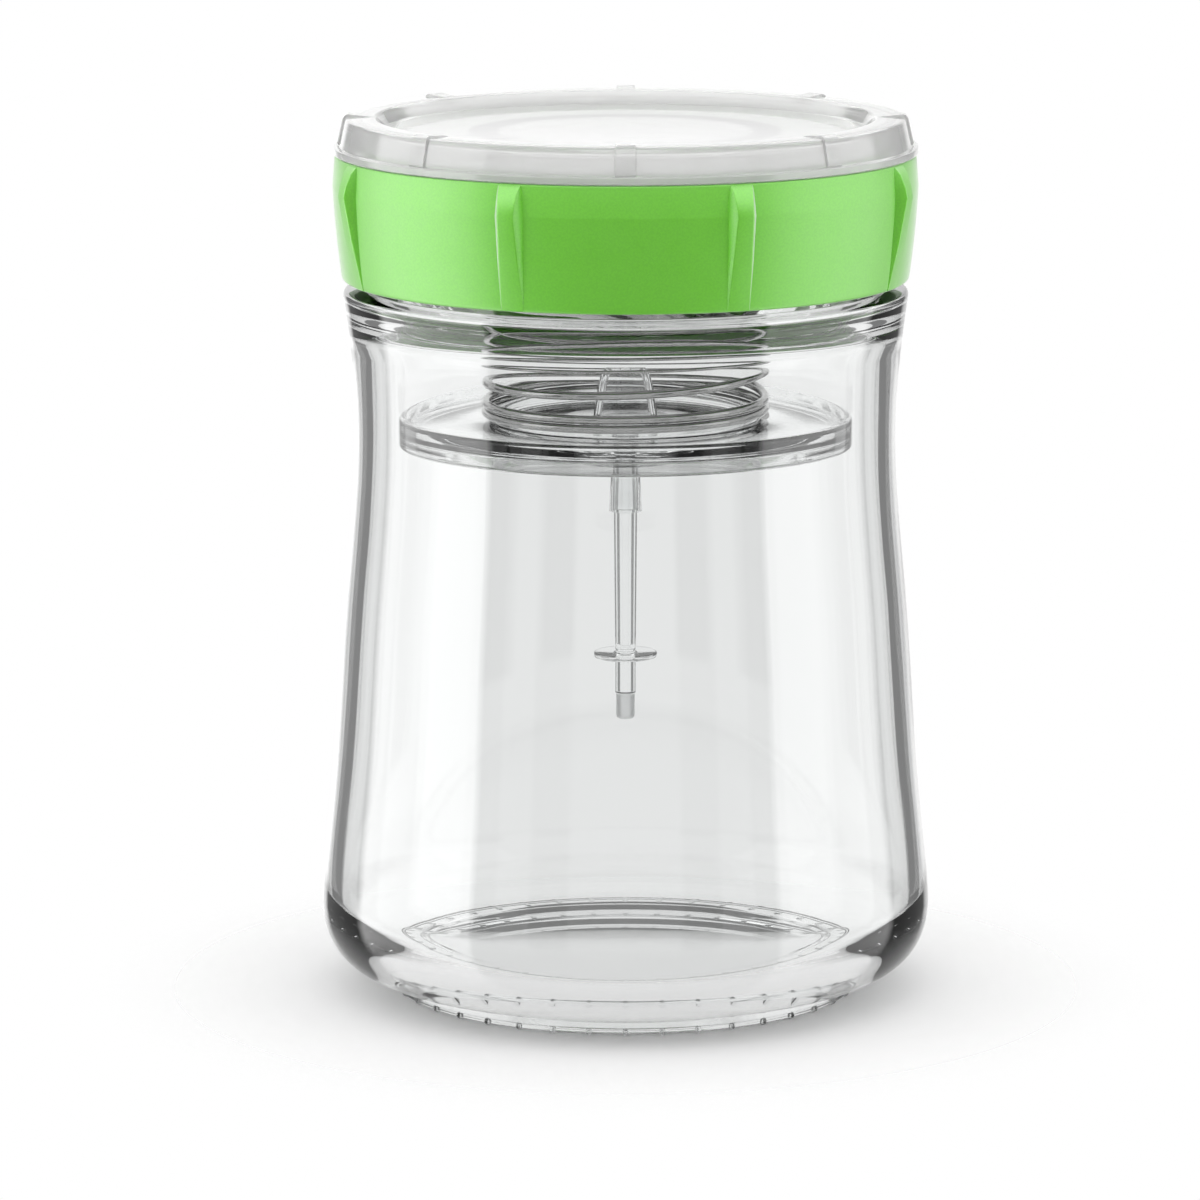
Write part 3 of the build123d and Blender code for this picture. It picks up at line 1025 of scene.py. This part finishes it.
@dataclass
class ScrewCap(SubAssembly):
    """The clear screw cap: flange, sloped wall with grip pads, rim, recess and skirt."""

    flange_low: float = 151.6
    flange_high: float = 152.9
    flange_radius: float = 52.1
    wall_radius: float = 50.9
    top_radius: float = 49.8
    top: float = 157.9
    rim_round: float = 0.7
    recess_lip: float = 44.5
    recess_radius: float = 43.2
    recess_floor: float = 155.5
    recess_round: float = 0.5
    ceiling: float = 153.5
    ceiling_radius: float = 45.2
    ceiling_round: float = 0.4
    rim_ceiling: float = 155.9
    skirt_inner: float = 48.55
    skirt_outer: float = 49.85
    skirt_low: float = 149.5
    land: Span = (46.65, 47.85)
    land_low: float = 154.0
    inner_round: float = 0.2
    edge: float = 0.3
    pad_count: int = 8
    pad_width: float = 3.4
    pad_proud: float = 0.45
    pad_reach: float = 2.6
    pad_rise: float = 0.05
    pad_side: float = 0.12

    def outline(self) -> list[Point]:
        """Draws the section, from the middle of the underside to the middle of the recess.

        Returns:
            The section's points.
        """
        return rounded([
            (0, self.ceiling), (self.ceiling_radius, self.ceiling, self.ceiling_round),
            (self.ceiling_radius, self.rim_ceiling, self.ceiling_round),
            (self.land[0], self.rim_ceiling, self.inner_round),
            (self.land[0], self.land_low, self.inner_round),
            (self.land[1], self.land_low, self.inner_round),
            (self.land[1], self.rim_ceiling, self.inner_round),
            (self.skirt_inner, self.rim_ceiling, self.inner_round),
            (self.skirt_inner, self.skirt_low, self.edge),
            (self.skirt_outer, self.skirt_low, self.edge),
            (self.skirt_outer, self.flange_low, self.inner_round),
            (self.flange_radius, self.flange_low, self.edge),
            (self.flange_radius, self.flange_high, self.edge),
            (self.wall_radius, self.flange_high, self.edge),
            (self.top_radius, self.top, self.rim_round),
            (self.recess_lip, self.top, self.rim_round),
            (self.recess_radius, self.recess_floor, self.recess_round), (0, self.recess_floor),
        ])

    def pads(self, line: np.ndarray, angles: np.ndarray) -> np.ndarray:
        """Works out how far the grip pads stand out.

        Args:
            line: the section in millimetres.
            angles: where the copies of the section stand.

        Returns:
            The offset along the normal, by point and angle.
        """
        step = TURN / self.pad_count
        away = np.abs((angles + step / 2) % step - step / 2) * self.top_radius
        across = np.clip((self.pad_width / 2 + self.pad_side - away) / self.pad_side, 0, 1)
        above = line[:, 1] > self.flange_high + self.pad_rise
        on_wall = above & (line[:, 0] > self.top_radius - self.pad_reach)
        return self.pad_proud * on_wall[:, None] * across[None, :]

    def pad_angles(self) -> np.ndarray:
        """Returns even angles with extra ones at the sides of each pad.

        Returns:
            The angles, in order.
        """
        half = self.pad_width / 2
        sides = [-half - self.pad_side, -half, half, half + self.pad_side]
        centres = even_angles(self.pad_count)
        extra = [centre + side / self.top_radius for centre in centres for side in sides]
        return np.unique(np.round(np.concatenate([even_angles(), np.array(extra) % TURN]), 6))

    def build(self) -> None:
        """Makes the cap with its pads."""
        cap = lathe("screw_cap", self.outline(), relief=self.pads, angles=self.pad_angles())
        self.shop.dress(cap, CAP_CLEAR, Body.CAP, "clear_cap")


@dataclass
class SpringUnit(SubAssembly):
    """The spring and the collar that centres it under the cap."""

    spring_radius: float = 25.8
    wire: float = 1.5
    seat_coils: float = 2.0
    coil_gap: float = 0.12
    open_pitch: float = 5.1
    points_per_turn: int = 64
    wire_sides: int = 14
    guide_inner: float = 22.55
    guide_outer: float = 23.95
    guide_round: float = 0.4
    lip_radius: float = 28.2
    lip_thickness: float = 1.4
    edge: float = 0.3

    def path(self) -> Piece:
        """Draws the middle of the wire: closed coils, open coils, closed coils.

        Returns:
            The object.
        """
        low = heights("press_plate")[1] - PressPlate.rim_rise
        high = heights("spring_collar")[1] - self.lip_thickness
        seat_pitch = self.wire + self.coil_gap
        free = high - low - self.wire - 2 * self.seat_coils * seat_pitch
        turns_open = free / self.open_pitch
        total = 2 * self.seat_coils + turns_open
        turns = np.linspace(0, total, int(total * self.points_per_turn))
        opened = np.clip(turns - self.seat_coils, 0, turns_open)
        rise = (turns - opened) * seat_pitch + opened * self.open_pitch
        coil = self.spring_radius - self.wire / 2
        places = np.stack([
            coil * np.cos(turns * TURN), coil * np.sin(turns * TURN), low + self.wire / 2 + rise,
        ], axis=1)
        mesh = bmesh.new()
        verts = [mesh.verts.new(place) for place in places * MM]
        for pair in zip(verts, verts[1:]):
            mesh.edges.new(pair)
        return linked("spring_path", mesh)

    def collar(self) -> Piece:
        """Makes the collar in the place of its node.

        Returns:
            The object.
        """
        low, high = heights("spring_collar")
        lip = high - self.lip_thickness
        corners = [
            (self.guide_inner, low, self.edge), (self.guide_outer, low, self.guide_round),
            (self.guide_outer, lip, self.edge), (self.lip_radius, lip, self.edge),
            (self.lip_radius, high, self.edge), (self.guide_inner, high, self.edge),
        ]
        return lathe("spring_cup", rounded(corners, closed=True), loop=True)

    def build(self) -> None:
        """Makes the collar, and the spring, which rides on no body."""
        self.shop.dress(self.collar(), CLEAR, Body.SPRING_SEAT, "spring_collar")
        spring = self.shop.wire.apply(
            self.path(), "coil_spring", radius=self.wire / 2 * MM, sides=self.wire_sides,
            material=self.shop.material(STEEL),
        )
        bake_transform(spring)
        self.shop.dress(spring, STEEL, None, "press_spring")


@dataclass
class PressPlate(SubAssembly):
    """The clear plate that keeps the food down, with its rim, spring guide and hub."""

    thickness: float = 1.8
    bend: float = 0.8
    edge: float = 0.4
    rim_rise: float = 1.3
    rim_width: float = 2.6
    rim_round: float = 1.2
    rim_corner: float = 0.3
    rim_side_round: float = 1.0
    rim_top_round: float = 0.6
    guide_inner: float = 22.2
    guide_outer: float = 23.95
    guide_height: float = 1.5
    hub_radius: float = 8.0
    hub_taper: float = 0.5
    hub_drop: float = 2.4
    hub_round: float = 0.6
    socket_radius: float = 2.25
    socket_depth: float = 2.6
    socket_rounds: tuple[float, float] = (0.15, 0.1)
    vent_radius: float = 1.2
    vent_round: float = 0.2

    def outline(self) -> list[Point]:
        """Draws the closed section of the plate, from the bottom of the socket and round.

        Returns:
            The section's points.
        """
        (rim_low, rim_high), radius = heights("press_plate"), reach("press_plate")
        top = rim_high - self.rim_rise
        under = top - self.thickness
        hub = under - self.hub_drop
        guide = top + self.guide_height
        rim_inner, rim_flat = radius - self.rim_width, radius - self.rim_round
        return rounded([
            (self.socket_radius, hub, self.socket_rounds[0]),
            (self.hub_radius - self.hub_taper, hub, self.edge),
            (self.hub_radius, under, self.hub_round), (rim_inner, under, self.bend),
            (rim_flat, rim_low, self.rim_top_round),
            (radius, rim_low + self.rim_corner, self.rim_side_round),
            (radius, rim_high - self.rim_corner, self.rim_side_round),
            (rim_flat, rim_high, self.rim_top_round), (rim_inner, top, self.bend),
            (self.guide_outer, top, self.edge), (self.guide_outer, guide, self.edge),
            (self.guide_inner, guide, self.edge), (self.guide_inner, top, self.edge),
            (self.vent_radius, top, self.vent_round),
            (self.vent_radius, hub + self.socket_depth, self.socket_rounds[1]),
            (self.socket_radius, hub + self.socket_depth, self.socket_rounds[1]),
        ], closed=True)

    def build(self) -> None:
        """Makes the plate."""
        plate = lathe("plate_clear", self.outline(), loop=True)
        self.shop.dress(plate, CLEAR, Body.PRESS, "press_plate")


@dataclass
class VentTower(SubAssembly):
    """The clear tower over the vent: square, tapered, hollow, with a round hole in its top."""

    wall: float = 1.1
    corner: float = 0.8
    inner_corner: float = 0.3
    corner_points: int = 6
    hole_radius: float = 1.2
    top_width: float = 7.2
    edge: float = 0.5
    edge_rows: tuple[tuple[float, float], ...] = (
        (0.0, 1.0), (0.3, 0.3), (1.0, 0.05), (2.0, 0.0),
    )                             # how far in from the shoulder and down from the top, in edges

    def square(self, width: float, corner: float, height: float) -> list[Place]:
        """Draws a square with rounded corners.

        Args:
            width: of its sides, in millimetres.
            corner: radius of its corners.
            height: where it lies.

        Returns:
            Its points in metres.
        """
        points = []
        inset = width / 2 - corner
        for quarter in range(4):
            centre = (quarter + 0.5) * TURN / 4
            x, y = (math.copysign(inset, part) for part in (math.cos(centre), math.sin(centre)))
            for share in np.linspace(-0.5, 0.5, self.corner_points):
                angle = centre + share * TURN / 4
                out, up = x + corner * math.cos(angle), y + corner * math.sin(angle)
                points.append((out * MM, up * MM, height * MM))
        return points

    def circle(self, radius: float, height: float) -> list[Place]:
        """Draws a circle with as many points as the square, in line with them.

        Args:
            radius: in millimetres.
            height: where it lies.

        Returns:
            Its points in metres.
        """
        points = []
        for x, y, _ in self.square(self.top_width, self.corner, height):
            away = math.hypot(x, y)
            points.append((x / away * radius * MM, y / away * radius * MM, height * MM))
        return points

    def build(self) -> None:
        """Makes the tower in the place of its node."""
        (bottom, top), base = heights("vent_tower"), 2 * reach("vent_tower")
        slope = (base - self.top_width) / (top - bottom)
        shoulder = self.top_width + slope * self.edge
        under = top - self.wall
        rings = [
            self.square(base, self.corner, bottom),
            *(
                self.square(shoulder - inset * self.edge, self.corner, top - drop * self.edge)
                for inset, drop in self.edge_rows
            ),
            self.circle(self.hole_radius, top),
            self.circle(self.hole_radius, under),
            self.square(self.top_width - 2 * self.wall, self.inner_corner, under),
            self.square(base - 2 * self.wall, self.inner_corner, bottom),
        ]
        tower = skin("tower_clear", np.array(rings))
        self.shop.dress(tower, CLEAR, Body.PRESS, "vent_tower")


@dataclass
class StemUnit(SubAssembly):
    """What hangs under the plate: the tapered stem with its disc, the bell collar and the tip."""

    radius: float = 2.2
    taper: float = 0.35
    edge: float = 0.3
    root_round: float = 0.2
    disc_radius: float = 5.7
    disc_rise: float = 6.7
    disc_thickness: float = 0.9
    bell_edge: float = 0.25
    bell_gap: float = 0.05
    bell_rounds: tuple[float, float, float, float] = (0.1, 0.2, 0.1, 0.05)
    tip_radius: float = 1.65
    tip_round: float = 0.8
    tip_top_round: float = 0.1

    def stem(self) -> list[Point]:
        """Draws the section of the stem with its disc.

        Returns:
            The section's points.
        """
        low, high = heights("gas_stem")
        end_radius = self.radius - self.taper
        disc = low + self.disc_rise
        disc_top = disc + self.disc_thickness
        return rounded([
            (0, low), (end_radius, low, self.edge), (end_radius, disc, self.edge),
            (self.disc_radius, disc, self.edge), (self.disc_radius, disc_top, self.edge),
            (end_radius, disc_top, self.edge), (self.radius, high, self.root_round), (0, high),
        ])

    def bell(self) -> list[Point]:
        """Draws the closed section of the bell collar.

        Returns:
            The section's points.
        """
        (low, high), bore = heights("stem_bell"), self.radius + self.bell_gap
        foot, top = reach("stem_bell"), bore + self.bell_edge
        places = ((bore, low), (foot, low), (top, high), (bore, high))
        corners = [(*place, rounding) for place, rounding in zip(places, self.bell_rounds)]
        return rounded(corners, closed=True)

    def tip(self) -> list[Point]:
        """Draws the section of the tip, without the spigot that the stem hides.

        Returns:
            The section's points.
        """
        low, top = heights("stem_tip")[0], heights("gas_stem")[0] - self.bell_gap
        return rounded([
            (0, low), (self.tip_radius, low, self.tip_round),
            (self.tip_radius, top, self.tip_top_round), (0, top),
        ])

    def build(self) -> None:
        """Makes the stem, the bell and the tip."""
        dress = self.shop.dress
        dress(lathe("stem_clear", self.stem()), CLEAR, Body.PRESS, "gas_stem")
        dress(lathe("bell_clear", self.bell(), loop=True), CLEAR, Body.PRESS, "stem_bell")
        dress(lathe("tip_frosted", self.tip()), FROSTED, Body.PRESS, "stem_tip")


@dataclass
class Studio:
    """The camera, the pale floor, the lamps, and what the glass sees around it.

    Places and sizes are metres here, and the spans of clear, sides and top are heights or parts
    along X of a direction, from -1 to 1.
    """

    lens: float = 194.7
    sensor: float = 36.0
    shift: float = -0.02125
    clip: Span = (0.01, 20.0)
    camera_place: Place = (0.0, -1.151, 0.281)
    camera_pitch: float = 10.37      # degrees below level
    floor_radius: float = 0.9
    floor_sides: int = 96
    floor_fade: Span = (0.045, 0.1)
    floor_glow: float = 0.75         # share of its own light where glass shows it
    floor_colour: Colour = (0.99, 0.99, 0.99)
    strip_starts: Span = (21.0, 24.0)
    strip_ends: Span = (37.0, 39.0)  # degrees around the jar, in each eighth of a turn
    strip_light: float = 0.22
    clear_light: float = 0.84
    clear_above: Span = (0.02, 0.14)
    clear_below: Span = (-0.42, -0.3)
    indirect_light: float = 1.05
    mirrored: tuple[tuple[float, float], ...] = (
        (0.0, 0.0), (0.325, 0.0), (0.34, 1.0), (0.65, 1.0),
        (0.68, 0.1), (0.86, 0.1), (0.89, 0.45), (1.0, 0.45),
    )                                # levels by bearing, from the camera's side to the far side
    sides: Span = (-0.2, 0.2)
    side_light: Span = (3.3, 2.3)
    top_starts: Span = (0.3, 0.42)
    top_light: float = 3.2
    white: Colour = (1.0, 1.0, 1.0)
    lamp_place: Place = (0.85, -0.25, 0.35)
    lamp_aim: Place = (0.0, 0.0, 0.09)
    lamp_size: tuple[float, float] = (0.5, 0.9)
    lamp_power: tuple[float, float] = (1.0, 0.7)

    def camera(self) -> None:
        """Places the camera as the photograph's stood."""
        data = bpy.data.cameras.new("camera")
        data.lens, data.sensor_width, data.shift_x = self.lens, self.sensor, self.shift
        data.clip_start, data.clip_end = self.clip
        camera = linked("camera", data)
        camera.location = self.camera_place
        camera.rotation_euler = (math.radians(90 - self.camera_pitch), 0, 0)
        bpy.context.scene.camera = camera

    def floor(self) -> None:
        """Makes the pale floor, which fades into the white around it."""
        mesh = bmesh.new()
        bmesh.ops.create_circle(
            mesh, cap_ends=True, segments=self.floor_sides, radius=self.floor_radius
        )
        floor = linked("floor", mesh)
        material = bpy.data.materials.new("floor")
        nodes = Nodes.of(material)
        place = nodes.add("ShaderNodeTexCoord").outputs["Object"]
        away = nodes.add("ShaderNodeVectorMath", {0: place}, operation="LENGTH").outputs["Value"]
        fade = nodes.ramp(away, self.floor_fade)
        shaded = nodes.add("ShaderNodeBsdfDiffuse", {"Color": self.floor_colour}).outputs[0]
        inputs = {"Color": self.floor_colour, "Strength": self.clear_light}
        glow = nodes.add("ShaderNodeEmission", inputs).outputs[0]
        through_glass = nodes.add("ShaderNodeLightPath").outputs["Is Transmission Ray"]
        seen = nodes.times(through_glass, self.floor_glow)
        pale = nodes.add("ShaderNodeMixShader", {0: seen, 1: shaded, 2: glow}).outputs[0]
        clear = nodes.add("ShaderNodeBsdfTransparent").outputs[0]
        mixed = nodes.add("ShaderNodeMixShader", {0: fade, 1: pale, 2: clear}).outputs[0]
        nodes.add("ShaderNodeOutputMaterial", {"Surface": mixed})
        floor.data.materials.append(material)

    def surroundings(self) -> None:
        """Makes the world: white to the camera, and more varied to what glass shows or mirrors."""
        world = bpy.data.worlds.new("studio")
        bpy.context.scene.world = world
        nodes = Nodes.of(world)
        direction = nodes.add("ShaderNodeTexCoord").outputs["Generated"]
        along = nodes.add("ShaderNodeSeparateXYZ", {0: direction}).outputs
        path = nodes.add("ShaderNodeLightPath").outputs
        bearing = nodes.math("ARCTAN2", along["X"], along["Y"])

        # Through glass: white above and below, with dark upright strips between.
        folded = nodes.math("PINGPONG", bearing, TURN / 8)
        starts, ends = (
            [math.radians(edge) for edge in span] for span in (self.strip_starts, self.strip_ends)
        )
        strip = nodes.most(nodes.ramp(folded, starts, 1.0, 0.0), nodes.ramp(folded, ends))
        strip = nodes.ramp(strip, (0.0, 1.0), self.strip_light, self.clear_light)
        above = nodes.ramp(along["Z"], self.clear_above, 0.0, self.clear_light)
        below = nodes.ramp(along["Z"], self.clear_below, self.clear_light, 0.0)
        indirect = nodes.math("MINIMUM", path["Diffuse Depth"], 1.0)
        level = nodes.most(nodes.most(above, below), nodes.times(indirect, self.indirect_light))
        through_glass = nodes.times(path["Is Transmission Ray"], nodes.most(strip, level))

        # Mirrored: bright sides and top, dark behind the camera, grey beyond the jar.
        share = nodes.math("DIVIDE", nodes.math("ABSOLUTE", bearing), math.pi)
        levels = nodes.add("ShaderNodeValToRGB", {0: nodes.math("SUBTRACT", 1.0, share)})
        stops = levels.color_ramp.elements
        for place, _ in self.mirrored[1:-1]:
            stops.new(place)
        for stop, (place, level) in zip(stops, self.mirrored):
            stop.position, stop.color = place, (level, level, level, 1.0)
        side = nodes.ramp(along["X"], self.sides, *self.side_light)
        overhead = nodes.ramp(along["Z"], self.top_starts, 0.0, self.top_light)
        only_glossy = nodes.math("SUBTRACT", path["Is Glossy Ray"], path["Is Transmission Ray"])
        mirror = nodes.most(nodes.times(levels.outputs[0], side), overhead)
        mirror = nodes.times(nodes.most(only_glossy, 0.0), mirror)

        strength = nodes.math("ADD", path["Is Diffuse Ray"], mirror)
        strength = nodes.math("ADD", strength, through_glass)
        strength = nodes.most(strength, path["Is Camera Ray"])
        inputs = {"Color": self.white, "Strength": strength}
        light = nodes.add("ShaderNodeBackground", inputs).outputs[0]
        nodes.add("ShaderNodeOutputWorld", {"Surface": light})

    def lamps(self) -> None:
        """Hangs one soft lamp on each side of the jar."""
        for side, power in zip((-1, 1), self.lamp_power):
            data = bpy.data.lights.new("lamp", "AREA")
            data.shape = "RECTANGLE"
            data.size, data.size_y = self.lamp_size
            data.energy = power
            lamp = linked("lamp", data)
            x, y, z = self.lamp_place
            lamp.location = (side * x, y, z)
            aim = Vector(self.lamp_aim) - lamp.location
            lamp.rotation_euler = aim.to_track_quat("-Z", "Y").to_euler()

    def build(self) -> None:
        """Makes the whole studio and sets the plain view."""
        bpy.context.scene.view_settings.view_transform = "Standard"
        self.camera()
        self.floor()
        self.surroundings()
        self.lamps()


def main() -> None:
    """Builds the studio and every piece of the jar in order."""
    logging.basicConfig(level=logging.INFO, format="%(message)s")
    Studio().build()
    shop = Workshop()
    for part in (GlassJar, Seals, ScrewRing, ScrewCap, SpringUnit, PressPlate, VentTower, StemUnit):
        part(shop).build()


if __name__ == "__main__":
    main()
